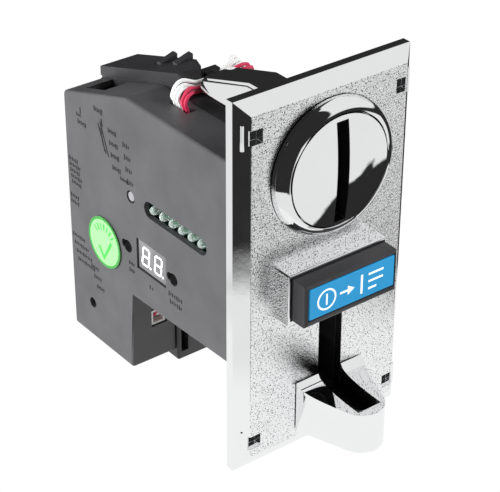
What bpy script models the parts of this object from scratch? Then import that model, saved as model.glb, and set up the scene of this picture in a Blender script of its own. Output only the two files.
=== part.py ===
"""Panel-mounted multi-coin acceptor (coin selector), built from separate parts.

Frame: metres, +Z up, the front plate faces -Y and +X is to the right of someone facing it.
The origin is the middle of the plate's mounting face, the flat rear of its rim.
Lengths in this file are millimetres, turned into metres where a mesh is made.
"""
import math

import bmesh
import bpy
from mathutils import Matrix, Vector

MM = 0.001
GAP = 0.3                       # space left between neighbours that touch

# Front plate
PLATE_W, PLATE_H = 65.0, 127.0
RIM_T = 3.0                     # straight edge of the plate
RAISE = 3.7                     # height of the textured face over the rim's front
SLOPE_SIDE, SLOPE_TOP, SLOPE_BOTTOM = 4.0, 4.4, 6.0
WALL = 2.5
FACE_Y = -(RIM_T + RAISE)       # plane of the textured face
BACK_Y = FACE_Y + WALL          # rear of the textured wall
LAND = 4.2                      # width of the mounting face around the edge
CORNER_X, CORNER_TOP, CORNER_BOTTOM = 26.9, 52.6, -52.5
POCKET = 4.6                    # square pocket in each corner
BOSS, BOSS_END = 8.0, -0.4      # the bosses behind the pockets end just short of the mounting face

# Coin entry
ENTRY_X, ENTRY_Z = 0.3, 35.0
COLLAR_R, COLLAR_TOP_R, COLLAR_FRONT = 22.0, 18.4, -11.2
DISC_R, DISC_RISE = 17.7, 1.4
SLOT_W, SLOT_BOTTOM, SLOT_TOP = 4.4, 18.5, 51.2
PLATE_SLOT_TOP = 49.6
HOOD_LEFT, HOOD_RIGHT, HOOD_TOP = -7.3, 4.6, 51.4
HOOD_RIDGE, HOOD_REAR, HOOD_REAR_TOP, HOOD_FOOT = 24.0, 46.2, 44.7, 40.0

# Reject button
BUTTON_X = 0.3
BUTTON_W, BUTTON_BOTTOM, BUTTON_TOP = 35.4, -9.0, 5.2
BUTTON_FRONT, BUTTON_BACK = -18.2, -9.2
SURROUND_W, SURROUND_BOTTOM, SURROUND_TOP, SURROUND_FRONT = 37.6, -11.4, 6.4, -11.7
LABEL_W, LABEL_BOTTOM, LABEL_TOP = 32.8, -6.6, 4.0
ROD_X, ROD_Z, ROD_HALF, ROD_END = -11.0, -2.0, 1.6, 6.0

# Coin return
RETURN_X, RETURN_HALF = 2.2, 4.5
RETURN_SLOT_TOP, RETURN_FLOOR = -11.9, -47.0
CUP_HALF, CUP_NOSE_R, CUP_NOSE_Y = 13.2, 7.4, -29.5
CUP_TOP, CUP_LIP, CUP_BOTTOM = -36.2, -41.2, -55.3
CUP_SWEEP, CUP_POWER = 22.8, 2.9
CUP_SLOT_END = -26.1
CHUTE_WALL_TOP = -17.5

# Body
BODY_FRONT, BODY_REAR, KINK_Y = 0.4, 92.4, 56.5
BODY_TOP, BODY_REAR_TOP = 39.7, 28.2
STEP_Y, STEP_Z, BODY_BOTTOM = 57.3, -29.7, -60.5
COVER_LEFT, COVER_RIGHT, MODULE_RIGHT = -28.0, -13.7, -10.9
COVER_WALL = 2.0
FRAME_LEFT, FRAME_RIGHT, FRAME_WALL = -13.4, -2.1, 2.2
BLOCK_Y, BLOCK_RAISE, BLOCK_RIGHT = 49.6, 4.3, 1.2
LANE_LEFT, LANE_RIGHT = -1.9, 2.8        # the coin lane
BOARD_X, BOARD_T = -21.5, 1.6
WIRE_D, WIRE_PITCH, EXIT_SENSOR_TOP = 1.2, 1.45, -44.0
SOCKET_TOP, WIRE_GROOVE = 32.5, 38.2
SCREW_PLACES = ((6.6, -23.5), (38.0, -23.5), (87.4, 24.0))
ROOF_SLOPE = (BODY_TOP - BODY_REAR_TOP) / (BODY_REAR - KINK_Y)

# Controls on the left side
LED_COUNT, LED_FIRST_Y, LED_PITCH, LED_Z, LED_R = 6, 44.2, -4.94, 5.6, 1.5
LED_SLOT_R = 2.9
DISPLAY_Y0, DISPLAY_Y1, DISPLAY_Z0, DISPLAY_Z1 = 37.5, 52.7, -18.6, -8.0
SET_BUTTONS = ((55.4, 5.8), (57.9, -13.4), (33.2, -13.6))
SET_TRAVEL = 0.3
STICKER_Y, STICKER_Z, STICKER_R = 71.0, -18.2, 9.0

# Gate on the right side
GATE_HINGE_X, GATE_HINGE_Z = 8.4, 35.0
GATE_Y0, GATE_Y1 = 4.0, 59.0
RAIL_Z0, RAIL_DROP = 15.8, 0.17         # rail height at the front, fall per mm
RAIL_T, RAIL_END = 1.8, 50.0

# Accept flap and solenoid
FLAP_Y, FLAP_Z = 66.0, -25.5
FLAP_LEAN = math.radians(20.0)
CRANK_LENGTH = 8.5
SOLENOID_X, SOLENOID_Z = -18.5, FLAP_Z - CRANK_LENGTH


# ------------------------------------------------------------------ helpers
def clear_scene():
    for item in list(bpy.data.objects):
        bpy.data.objects.remove(item, do_unlink=True)


clear_scene()
PARTS = bpy.data.collections.new("coin_acceptor")
CUTTERS = bpy.data.collections.new("cutters")
bpy.context.scene.collection.children.link(PARTS)
bpy.context.scene.collection.children.link(CUTTERS)


def material(name, colour, roughness, metallic=0.0):
    made = bpy.data.materials.new(name)
    made.use_nodes = True
    shader = made.node_tree.nodes["Principled BSDF"]
    shader.inputs["Base Color"].default_value = (*colour, 1.0)
    shader.inputs["Roughness"].default_value = roughness
    shader.inputs["Metallic"].default_value = metallic
    return made


FINISH = {
    "chrome": ((0.86, 0.87, 0.88), 0.08, 1.0),
    "black_plastic": ((0.06, 0.06, 0.065), 0.38, 0.0),
    "grey_plastic": ((0.10, 0.10, 0.11), 0.42, 0.0),
    "blue_label": ((0.02, 0.32, 0.72), 0.25, 0.0),
    "steel": ((0.62, 0.62, 0.64), 0.3, 1.0),
    "brass": ((0.75, 0.56, 0.25), 0.3, 1.0),
    "board": ((0.02, 0.16, 0.08), 0.5, 0.0),
    "clear": ((0.88, 0.92, 0.90), 0.08, 0.0),
    "display": ((0.25, 0.26, 0.27), 0.3, 0.0),
    "white_plastic": ((0.85, 0.85, 0.82), 0.4, 0.0),
    "white_wire": ((0.85, 0.86, 0.85), 0.4, 0.0),
    "red_wire": ((0.62, 0.03, 0.08), 0.4, 0.0),
    "green_sticker": ((0.35, 0.85, 0.28), 0.35, 0.0),
    "copper": ((0.72, 0.35, 0.2), 0.35, 1.0),
}


def part(name, mesh, finish, collection=PARTS):
    made = bpy.data.objects.new(name, mesh)
    collection.objects.link(made)
    mesh.materials.clear()
    mesh.materials.append(material(name + "_finish", *FINISH[finish]))
    return made


def tool(name, mesh):
    made = bpy.data.objects.new(name, mesh)
    CUTTERS.objects.link(made)
    made.hide_render = True
    made.display_type = "WIRE"
    return made


def mesh_from(bm, name, smooth_angle=None):
    bmesh.ops.recalc_face_normals(bm, faces=bm.faces)
    if bm.calc_volume(signed=True) < 0.0:
        bmesh.ops.reverse_faces(bm, faces=bm.faces)
    mesh = bpy.data.meshes.new(name)
    bm.to_mesh(mesh)
    bm.free()
    if smooth_angle is not None:
        mesh.shade_smooth()
        mesh.set_sharp_from_angle(angle=math.radians(smooth_angle))
    return mesh


def box_mesh(name, low, high, bevel=0.0, segments=2, keep=None):
    """A box from its two corners. bevel rounds its edges, or only those that keep() picks."""
    bm = bmesh.new()
    bmesh.ops.create_cube(bm, size=1.0)
    low, high = Vector(low) * MM, Vector(high) * MM
    for vert in bm.verts:
        vert.co = Vector([low[i] + (vert.co[i] + 0.5) * (high[i] - low[i]) for i in range(3)])
    round_edges(bm, bevel, segments, keep)
    return mesh_from(bm, name)


def round_edges(bm, radius, segments=2, keep=None):
    if radius <= 0.0:
        return
    edges = [edge for edge in bm.edges if keep is None or keep(edge)]
    bmesh.ops.bevel(bm, geom=edges, offset=radius * MM, segments=segments, profile=0.5,
                    affect="EDGES", clamp_overlap=True)


def cylinder_mesh(name, centre, radius, length, axis="X", sides=24, tip_radius=None):
    """A cylinder or cone about centre, its tip_radius at the far end of the axis."""
    bm = bmesh.new()
    bmesh.ops.create_cone(bm, cap_ends=True, segments=sides, radius1=radius * MM,
                          radius2=(radius if tip_radius is None else tip_radius) * MM,
                          depth=length * MM)
    turn = {"X": Matrix.Rotation(math.pi / 2, 4, "Y"),
            "Y": Matrix.Rotation(-math.pi / 2, 4, "X"),
            "Z": Matrix.Identity(4)}[axis]
    bmesh.ops.transform(bm, matrix=Matrix.Translation(Vector(centre) * MM) @ turn, verts=bm.verts)
    return mesh_from(bm, name, 40)


def outline_mesh(name, points, plane, low, high, bevel=0.0, segments=2, keep=None):
    """A flat outline in plane YZ, XY or XZ, given thickness from low to high along the third axis."""
    curve = bpy.data.curves.new(name + "_outline", "CURVE")
    curve.dimensions = "2D"
    curve.fill_mode = "BOTH"
    curve.extrude = 0.5 * abs(high - low) * MM
    spline = curve.splines.new("POLY")
    spline.points.add(len(points) - 1)
    for slot, (u, v) in zip(spline.points, points):
        slot.co = (u * MM, v * MM, 0.0, 1.0)
    spline.use_cyclic_u = True
    holder = bpy.data.objects.new(name + "_outline", curve)
    CUTTERS.objects.link(holder)
    depsgraph = bpy.context.evaluated_depsgraph_get()
    flat = bpy.data.meshes.new_from_object(holder.evaluated_get(depsgraph))
    middle = 0.5 * (low + high) * MM
    bm = bmesh.new()
    bm.from_mesh(flat)
    bmesh.ops.remove_doubles(bm, verts=bm.verts, dist=1e-6)
    bmesh.ops.dissolve_limit(bm, angle_limit=0.001, verts=bm.verts, edges=bm.edges)
    for vert in bm.verts:
        u, v, w = vert.co
        vert.co = {"YZ": (middle + w, u, v), "XY": (u, v, middle + w), "XZ": (u, middle - w, v)}[plane]
    bpy.data.objects.remove(holder, do_unlink=True)
    bpy.data.curves.remove(curve)
    bpy.data.meshes.remove(flat)
    round_edges(bm, bevel, segments, keep)
    return mesh_from(bm, name)


def turned(name, profile, centre, axis, finish, sides=48, smooth=True):
    """A piece turned about an axis. profile runs down its outer side as (radius, height)."""
    mesh = bpy.data.meshes.new(name)
    closed = profile[0][0] > 0.0
    count = len(profile)
    edges = [(i, (i + 1) % count) for i in range(count if closed else count - 1)]
    mesh.from_pydata([(r * MM, 0.0, h * MM) for r, h in profile], edges, [])
    made = part(name, mesh, finish)
    screw = made.modifiers.new("turn", "SCREW")
    screw.axis = "Z"
    screw.steps = sides
    screw.render_steps = sides
    screw.use_merge_vertices = True
    screw.merge_threshold = 0.00001
    screw.use_smooth_shade = smooth
    made.rotation_euler = {"-Y": (math.pi / 2, 0.0, 0.0), "Y": (-math.pi / 2, 0.0, 0.0),
                           "X": (0.0, math.pi / 2, 0.0), "-X": (0.0, -math.pi / 2, 0.0),
                           "Z": (0.0, 0.0, 0.0)}[axis]
    made.location = Vector(centre) * MM
    return made


def boolean(target, cutter_mesh, operation="DIFFERENCE"):
    cutter = tool(f"{target.name}_tool_{len(target.modifiers)}", cutter_mesh)
    step = target.modifiers.new(operation.lower(), "BOOLEAN")
    step.operation = operation
    step.solver = "EXACT"
    step.object = cutter
    return target


def cut_box(target, low, high):
    return boolean(target, box_mesh("cut", low, high))


def add_box(target, low, high, bevel=0.0):
    return boolean(target, box_mesh("add", low, high, bevel), "UNION")


def cut_hole(target, centre, radius, length, axis="X", sides=20):
    return boolean(target, cylinder_mesh("cut", centre, radius, length, axis, sides))


def wire(name, route, diameter, finish):
    """A round wire through the points of its route."""
    curve = bpy.data.curves.new(name, "CURVE")
    curve.dimensions = "3D"
    curve.bevel_depth = 0.5 * diameter * MM
    curve.bevel_resolution = 2
    curve.use_fill_caps = True
    spline = curve.splines.new("POLY")
    spline.points.add(len(route) - 1)
    for slot, place in zip(spline.points, route):
        slot.co = (*(Vector(place) * MM), 1.0)
    made = bpy.data.objects.new(name, curve)
    PARTS.objects.link(made)
    curve.materials.append(material(name + "_finish", *FINISH[finish]))
    return made


def smooth_route(points, samples):
    """Catmull-Rom curve through the points, read at even steps of its parameter."""
    knots = [Vector(p) for p in points]
    knots = [knots[0] * 2 - knots[1]] + knots + [knots[-1] * 2 - knots[-2]]
    spans = len(knots) - 3
    route = []
    for i in range(samples + 1):
        place = min(spans - 1e-6, i * spans / samples)
        k = int(place)
        t = place - k
        a, b, c, d = knots[k:k + 4]
        route.append(0.5 * (2 * b + (c - a) * t + (2 * a - 5 * b + 4 * c - d) * t * t
                            + (3 * b - a - 3 * c + d) * t ** 3))
    return route


def pivot(name, place):
    empty = bpy.data.objects.new(name, None)
    empty.location = Vector(place) * MM
    PARTS.objects.link(empty)
    return empty


def hang(pieces, empty):
    """Parent pieces to an empty on their joint, leaving them where they are."""
    bpy.context.view_layer.update()
    for piece in pieces:
        piece.parent = empty
        piece.matrix_parent_inverse = empty.matrix_world.inverted()


# ------------------------------------------------------------------ front plate
def front_panel():
    """Chromed moulding: rim, sloping border, raised face, corner pockets and the button's surround."""
    bm = bmesh.new()
    bmesh.ops.create_cube(bm, size=1.0)
    half_w, half_h = PLATE_W / 2, PLATE_H / 2
    for vert in bm.verts:
        vert.co = Vector((vert.co.x * PLATE_W, (vert.co.y - 0.5) * RIM_T, vert.co.z * PLATE_H)) * MM
    front = [face for face in bm.faces if face.normal.y < -0.9]
    raised = bmesh.ops.extrude_face_region(bm, geom=front)["geom"]
    bmesh.ops.delete(bm, geom=front, context="FACES")
    for vert in [item for item in raised if isinstance(item, bmesh.types.BMVert)]:
        vert.co.x = math.copysign(half_w - SLOPE_SIDE, vert.co.x) * MM
        vert.co.z = (half_h - SLOPE_TOP if vert.co.z > 0 else SLOPE_BOTTOM - half_h) * MM
        vert.co.y = FACE_Y * MM
    made = part("front_panel", mesh_from(bm, "front_panel"), "chrome")
    left, right = BUTTON_X - SURROUND_W / 2, BUTTON_X + SURROUND_W / 2
    cut_box(made, (LAND - half_w, BACK_Y, LAND + 3 - half_h), (half_w - LAND, 2, half_h - LAND - 1))
    add_box(made, (left, SURROUND_FRONT, SURROUND_BOTTOM), (right, BACK_Y - 1, SURROUND_TOP), 0.5)
    for x in (-CORNER_X, CORNER_X):
        for z in (CORNER_TOP, CORNER_BOTTOM):
            corner_pocket(made, x, z)
    cut_box(made, (left + 0.7, -20, SURROUND_BOTTOM + 1.9), (right - 0.7, 3, SURROUND_TOP - 0.8))
    lug = (GATE_HINGE_X - 2.0, GATE_HINGE_X + 2.4)
    add_box(made, (lug[0], BACK_Y - 1, GATE_HINGE_Z - 2.4), (lug[1], 3.0, GATE_HINGE_Z + 2.6))
    cut_hole(made, (GATE_HINGE_X, 1.0, GATE_HINGE_Z), 1.3, 6.0, "Y", 16)
    half_slot = SLOT_W / 2
    cut_box(made, (ENTRY_X - half_slot, -20, SLOT_BOTTOM), (ENTRY_X + half_slot, 3, PLATE_SLOT_TOP))
    cut_box(made, (RETURN_X - RETURN_HALF, -20, RETURN_FLOOR),
            (RETURN_X + RETURN_HALF, 3, RETURN_SLOT_TOP))
    return made


def corner_pocket(panel, x, z):
    """Square pocket in the face over a boss with a blind screw hole in its rear."""
    half = BOSS / 2
    add_box(panel, (x - half, BACK_Y - 1, z - half), (x + half, BOSS_END, z + half))
    cut_box(panel, (x - POCKET / 2, -9, z - POCKET / 2), (x + POCKET / 2, BACK_Y + 0.6, z + POCKET / 2))
    cut_hole(panel, (x, BOSS_END, z), 1.7, 4.4, "Y", 16)


def coin_entry():
    """Flared collar on the face with a domed, slotted disc inside it."""
    base = -(FACE_Y - GAP)
    top = -COLLAR_FRONT
    bore = DISC_R + GAP
    profile = [(bore, top - 0.5), (bore + 0.25, top), (COLLAR_TOP_R + 0.2, top - 0.1)]
    for i in range(1, 7):
        angle = i / 6 * math.pi / 2
        profile.append((COLLAR_TOP_R + 0.2 + (COLLAR_R - COLLAR_TOP_R - 0.2) * math.sin(angle) ** 1.25,
                        base + (top - 0.1 - base) * math.cos(angle)))
    profile.append((bore, base))
    centre = (ENTRY_X, 0.0, ENTRY_Z)
    turned("coin_entry_collar", profile, centre, "-Y", "chrome", 72)
    dome = [(DISC_R * i / 8, top - 0.1 + DISC_RISE * (1 - (i / 8) ** 2)) for i in range(9)]
    disc = turned("coin_slot_face", dome + [(DISC_R, base), (0.0, base)], centre, "-Y", "chrome", 72)
    half_slot = SLOT_W / 2
    cut_box(disc, (ENTRY_X - half_slot, -20, SLOT_BOTTOM), (ENTRY_X + half_slot, 3, SLOT_TOP))


def cup_height(y):
    """Height of the cup's lips: steep at the face, level at the nose."""
    reach = max(0.0, (CUP_SWEEP - (FACE_Y - y)) / CUP_SWEEP)
    return CUP_LIP + (CUP_TOP - CUP_LIP) * (1 - (1 - min(1.0, reach) ** CUP_POWER) ** (1 / CUP_POWER))


def cup_plan():
    """Half outline of the cup seen from above: a straight side running into a round nose."""
    back = FACE_Y - GAP
    centre = CUP_NOSE_Y + CUP_NOSE_R
    to_corner = math.atan2(back - centre, CUP_HALF)
    tangent = to_corner - math.acos(CUP_NOSE_R / math.hypot(CUP_HALF, back - centre))
    side = [(CUP_HALF, back)]
    for i in range(13):
        angle = tangent + (-math.pi / 2 - tangent) * i / 12
        side.append((CUP_NOSE_R * math.cos(angle), centre + CUP_NOSE_R * math.sin(angle)))
    return side


def coin_return_cup():
    half = cup_plan()
    outline = [(RETURN_X + x, y) for x, y in half] + [(RETURN_X - x, y) for x, y in half[-2::-1]]
    made = part("coin_return_cup", outline_mesh("cup", outline, "XY", CUP_BOTTOM, CUP_TOP + 2), "chrome")
    sweep = [(FACE_Y + 1 - 25 * i / 24, cup_height(FACE_Y + 1 - 25 * i / 24)) for i in range(25)]
    above = sweep + [(CUP_NOSE_Y - 4, CUP_LIP), (CUP_NOSE_Y - 4, 0), (FACE_Y + 1, 0)]
    boolean(made, outline_mesh("sweep", above, "YZ", -40, 40))
    slot = box_mesh("slot", (RETURN_X - RETURN_HALF, CUP_SLOT_END, RETURN_FLOOR),
                    (RETURN_X + RETURN_HALF, 0, -20), 3.0, 5, upright_front)
    return boolean(made, slot)


def upright_front(edge):
    """True for a vertical edge at the low-Y end."""
    a, b = edge.verts
    upright = abs(a.co.x - b.co.x) < 1e-7 and abs(a.co.y - b.co.y) < 1e-7
    return upright and a.co.y < (CUP_SLOT_END + 1) * MM


def entry_hood():
    """Chromed cover over the coin's way in, level at the front and falling to the rear."""
    outer = [(GAP, HOOD_FOOT), (GAP, HOOD_TOP), (HOOD_RIDGE, HOOD_TOP), (HOOD_REAR, HOOD_REAR_TOP),
             (HOOD_REAR, HOOD_FOOT)]
    def top_left(edge):
        low = min(vert.co.z for vert in edge.verts)
        side = max(vert.co.x for vert in edge.verts)
        return side < HOOD_LEFT * MM + 1e-6 and low > (HOOD_FOOT + 1) * MM
    made = part("entry_hood", outline_mesh("hood", outer, "YZ", HOOD_LEFT, HOOD_RIGHT, 3.2, 5, top_left),
                "chrome")
    inner = [(-1, HOOD_FOOT - 1), (-1, HOOD_TOP - 1.4), (HOOD_RIDGE - 0.4, HOOD_TOP - 1.4),
             (HOOD_REAR - 1.4, HOOD_REAR_TOP - 1.2), (HOOD_REAR - 1.4, HOOD_FOOT - 1)]
    def inner_top_left(edge):
        low = min(vert.co.z for vert in edge.verts)
        side = max(vert.co.x for vert in edge.verts)
        return side < (HOOD_LEFT + 1.3) * MM + 1e-6 and low > (HOOD_FOOT + 1) * MM
    return boolean(made, outline_mesh("hood_inner", inner, "YZ", HOOD_LEFT + 1.3, HOOD_RIGHT - 1.3,
                                      2.0, 4, inner_top_left))


# ------------------------------------------------------------------ reject button
def reject_button():
    """Bezel, backlit label and push rod that move together, with the lamp board and return spring."""
    left, right = BUTTON_X - BUTTON_W / 2, BUTTON_X + BUTTON_W / 2
    def front_edge(edge):
        return max(vert.co.y for vert in edge.verts) < BUTTON_FRONT * MM + 1e-6
    frame = part("button_frame", box_mesh("frame", (left, BUTTON_FRONT, BUTTON_BOTTOM),
                                          (right, BUTTON_BACK, BUTTON_TOP), 1.2, 3, front_edge),
                 "black_plastic")
    half = LABEL_W / 2
    cut_box(frame, (BUTTON_X - half - GAP, -30, LABEL_BOTTOM - GAP),
            (BUTTON_X + half + GAP, BUTTON_FRONT + 1.6, LABEL_TOP + GAP))
    cut_box(frame, (left + 1.4, BUTTON_FRONT + 3.0, BUTTON_BOTTOM + 1.4),
            (right - 1.4, 0, BUTTON_TOP - 1.4))
    cut_box(frame, (BUTTON_X - 13, BUTTON_FRONT + 1, -5), (BUTTON_X + 13, BUTTON_FRONT + 4, 2.4))
    label = part("button_label", box_mesh("label", (BUTTON_X - half, BUTTON_FRONT - 0.1, LABEL_BOTTOM),
                                          (BUTTON_X + half, BUTTON_FRONT + 1.3, LABEL_TOP), 0.25, 1),
                 "blue_label")
    rod = part("button_rod", box_mesh("rod", (ROD_X - ROD_HALF, BUTTON_FRONT + 3.3, ROD_Z - 2.4),
                                      (ROD_X + ROD_HALF, ROD_END, ROD_Z + 2.4), 0.5, 1), "black_plastic")
    hang([frame, label, rod], pivot("reject_button_slide", (BUTTON_X, BUTTON_BACK, -1.8)))
    board = part("button_lamp_board", box_mesh("lamp_board", (-6.5, -6.4, -7.0), (15.0, -4.8, 3.4)), "board")
    for x in (-1.0, 9.5):
        boolean(board, cylinder_mesh("lamp", (x, -7.4, -1.8), 1.5, 2.6, "Y", 16, 1.5), "UNION")
    for x, z in ((-3.5, -6.2), (-3.5, 2.6)):
        add_box(board, (x - 0.8, -5.5, z - 0.7), (x + 0.8, BACK_Y, z + 0.7))


def button_spring():
    """Light compression spring between the button's frame and the lamp board."""
    turns, radius = 4, 1.9
    points = []
    steps = turns * 10
    for i in range(steps + 1):
        angle = 2 * math.pi * turns * i / steps
        points.append((4.3 + radius * math.cos(angle), -14.2 + 7.2 * i / steps,
                       -1.8 + radius * math.sin(angle)))
    return wire("button_spring", points, 0.5, "steel")


# ------------------------------------------------------------------ body
def side_profile(inset=0.0, low_module=True):
    """Outline of the body from the side (y, z), moved in by inset."""
    top_rear = BODY_REAR_TOP - inset * math.hypot(1, ROOF_SLOPE) + inset * ROOF_SLOPE
    kink = KINK_Y - inset * math.tan(0.5 * math.atan(ROOF_SLOPE))
    points = [(BODY_FRONT + inset, STEP_Z + inset), (BODY_FRONT + inset, BODY_TOP - inset),
              (kink, BODY_TOP - inset), (BODY_REAR - inset, top_rear)]
    if low_module:
        points += [(BODY_REAR - inset, BODY_BOTTOM + inset), (STEP_Y + inset, BODY_BOTTOM + inset),
                   (STEP_Y + inset, STEP_Z + inset)]
    else:
        points += [(BODY_REAR - inset, STEP_Z + inset)]
    return points


def left_cover():
    """Outer shell of the electronics side: open towards the frame, windows for the controls."""
    def outer_edge(edge):
        return min(vert.co.x for vert in edge.verts) < (MODULE_RIGHT - 1) * MM
    made = part("left_cover", outline_mesh("cover", side_profile(), "YZ", COVER_LEFT, MODULE_RIGHT, 1.1, 3,
                                           outer_edge), "grey_plastic")
    cut_box(made, (COVER_RIGHT, -5, STEP_Z - 1.2), (5, 100, 60))
    boolean(made, outline_mesh("hollow", side_profile(COVER_WALL), "YZ", COVER_LEFT + COVER_WALL,
                               MODULE_RIGHT - 1.2))
    end = FRAME_RIGHT - FRAME_WALL - GAP
    for y, z in SCREW_PLACES:
        post = cylinder_mesh("post", (0.5 * (COVER_LEFT + 1 + end), y, z), 2.4, end - COVER_LEFT - 1, "X", 20)
        boolean(made, post, "UNION")
        cut_hole(made, (end, y, z), 1.3, 10.0)
    controls_openings(made)
    roof_hole = [(74.5, 20), (74.5, 45), (85.5, 45), (85.5, 20)]
    boolean(made, outline_mesh("roof_hole", roof_hole, "YZ", -23.6, -12.0))
    cut_box(made, (-19.2, 36.8, 35.0), (-15.8, 46.2, 42.0))
    cut_box(made, (-20.2, STEP_Y - 1, -47.4), (-14.0, STEP_Y + 3, -40.4))
    cut_box(made, (-24.0, BODY_REAR - 3, -14.0), (-18.0, BODY_REAR + 1, 2.0))
    cut_box(made, (-24.6, BODY_REAR - 3, 8.0), (-18.6, BODY_REAR + 1, 20.0))
    return made


def controls_openings(cover):
    depth = (COVER_LEFT - 2, COVER_LEFT + COVER_WALL + 2)
    last = LED_FIRST_Y + LED_PITCH * (LED_COUNT - 1)
    slot = []
    for middle, start in ((LED_FIRST_Y + 1.0, -90.0), (last - 1.0, 90.0)):
        for i in range(9):
            angle = math.radians(start + 22.5 * i)
            slot.append((middle + LED_SLOT_R * math.cos(angle), LED_Z + LED_SLOT_R * math.sin(angle)))
    boolean(cover, outline_mesh("led_slot", slot, "YZ", *depth))
    cut_box(cover, (depth[0], DISPLAY_Y0 - GAP, DISPLAY_Z0 - GAP),
            (depth[1], DISPLAY_Y1 + GAP, DISPLAY_Z1 + GAP))
    for y, z in SET_BUTTONS:
        cut_hole(cover, (COVER_LEFT, y, z), 2.2, 8.0)
    for y, z in SET_BUTTONS[1:]:
        cut_hole(cover, (COVER_LEFT, y + 1.9, z + 0.3), 1.5, 8.0)
    cut_hole(cover, (COVER_LEFT, BODY_REAR - 12, BODY_BOTTOM + 14), 1.9, 8.0)


def roof_height(y):
    return BODY_TOP - ROOF_SLOPE * max(0.0, y - KINK_Y)


def main_frame():
    """Chassis plate beside the coin lane, a tray open to the left, with the raised roof block."""
    block_top = BODY_REAR_TOP + BLOCK_RAISE
    block = [(BLOCK_Y, BODY_TOP + 0.8), (BLOCK_Y, block_top + ROOF_SLOPE * (BODY_REAR - BLOCK_Y)),
             (BODY_REAR, block_top), (BODY_REAR, BODY_REAR_TOP + 1.0), (KINK_Y, BODY_TOP + 0.8)]
    neck = [(BLOCK_Y, BODY_TOP - 1), (BLOCK_Y, BODY_TOP + 2), (BODY_REAR, block_top - 1),
            (BODY_REAR, BODY_REAR_TOP - 1.5), (KINK_Y, BODY_TOP - 1)]
    made = part("main_frame", outline_mesh("frame", side_profile(0, False), "YZ", FRAME_LEFT, FRAME_RIGHT),
                "black_plastic")
    boolean(made, outline_mesh("block", block, "YZ", FRAME_LEFT, BLOCK_RIGHT), "UNION")
    boolean(made, outline_mesh("neck", neck, "YZ", FRAME_LEFT + 0.5, FRAME_RIGHT - 0.1), "UNION")
    corner = [(-5.0, BLOCK_Y - 1), (BLOCK_RIGHT + 1, BLOCK_Y - 1), (BLOCK_RIGHT + 1, 61.6)]
    boolean(made, outline_mesh("corner", corner, "XY", BODY_TOP + 0.1, 60))
    for y, x in ((69.0, -6.6), (62.0, -5.6)):
        base = block_top + ROOF_SLOPE * (BODY_REAR - y)
        lug = [(x, base - 1.5), (x, base + 0.6), (x + 6.4, base + 2.6), (x + 6.4, base - 1.5)]
        boolean(made, outline_mesh("lug", lug, "XZ", y - 1.3, y + 1.3, 0.4), "UNION")
    boolean(made, outline_mesh("tray", side_profile(FRAME_WALL, False), "YZ", FRAME_LEFT - 1,
                               FRAME_RIGHT - FRAME_WALL))
    add_box(made, (FRAME_LEFT, BACK_Y + GAP, -24.0), (FRAME_RIGHT, 2.0, 12.0))
    cut_box(made, (FRAME_LEFT - 1, -5, -8.5), (-5.0, 3.5, 7.5))
    cut_box(made, (-13.9, -5, -5.3), (ROD_X + ROD_HALF + 0.6, 12.0, 1.3))
    cut_box(made, (FRAME_LEFT - 1, HOOD_REAR - 3, WIRE_GROOVE), (FRAME_RIGHT + 1, BLOCK_Y, BODY_TOP + 0.1))
    cut_hole(made, (-3.0, FLAP_Y, FLAP_Z), 1.9, 6.0)
    for y, z in SCREW_PLACES:
        cut_hole(made, (FRAME_RIGHT, y, z), 2.8, 2.8)
        cut_hole(made, (FRAME_RIGHT, y, z), 1.3, 6.0)
    return made


def lane_end():
    """Rear wall of the coin lane, from the frame to the lane cover."""
    part("lane_end", box_mesh("lane_end", (FRAME_RIGHT + GAP, BODY_REAR - 1.8, STEP_Z + GAP),
                              (6.8, BODY_REAR, 24.0), 0.3, 1), "black_plastic")


def sensor_coils():
    """Two wound pot-core coils that sense the coin through the frame's web."""
    for name, y, z in (("sensor_coil_front", 20.0, 24.5), ("sensor_coil_rear", 38.5, 21.5)):
        web = FRAME_RIGHT - FRAME_WALL - GAP
        profile = [(7.6, 0.0), (7.6, -1.2), (6.6, -1.2), (6.6, -4.0), (7.6, -4.0), (7.6, -5.2),
                   (2.0, -5.2), (2.0, 0.0)]
        turned(name, profile, (web, y, z), "X", "copper", 28)


def circuit_board():
    """Main board inside the cover, with its chips and the sockets for the front controls."""
    outline = [(5.0, -19.5), (5.0, 34.5), (54.0, 34.5), (83.5, 24.5), (83.5, -24.5), (42.0, -24.5), (42.0, -19.5)]
    made = part("circuit_board", outline_mesh("board", outline, "YZ", BOARD_X - BOARD_T / 2,
                                              BOARD_X + BOARD_T / 2), "board")
    face = BOARD_X + BOARD_T / 2
    for low, high in (((18, 6), (38, 16)), ((44, -14), (56, -4)), ((12, -18), (22, -10)),
                      ((64, 2), (76, 10))):
        add_box(made, (face - 0.4, low[0], low[1]), (face + 2.4, high[0], high[1]))
    boolean(made, cylinder_mesh("capacitor", (face + 2.4, 72.0, -12.0), 3.2, 5.6, "X", 20), "UNION")
    return made


def display_module():
    """Two-digit seven-segment display on the board."""
    back = BOARD_X - BOARD_T / 2 - GAP
    return part("display_module", box_mesh("display", (COVER_LEFT + 0.5, DISPLAY_Y0, DISPLAY_Z0),
                                           (back, DISPLAY_Y1, DISPLAY_Z1), 0.2, 1), "display")


def status_leds():
    """A row of six domed indicator LEDs behind the slot in the cover."""
    back = BOARD_X - BOARD_T / 2 - GAP
    tip = COVER_LEFT - 0.2
    dome = [(LED_R * math.sin(a * math.pi / 10), LED_R * math.cos(a * math.pi / 10)) for a in range(6)]
    body = abs(tip - back) - LED_R
    profile = [(r, h + body) for r, h in dome] + [(LED_R, 1.0), (1.8, 1.0), (1.8, 0.0), (0.0, 0.0)]
    for i in range(LED_COUNT):
        turned(f"status_led_{i + 1}", profile, (back, LED_FIRST_Y + LED_PITCH * i, LED_Z), "-X", "clear", 16)


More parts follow.
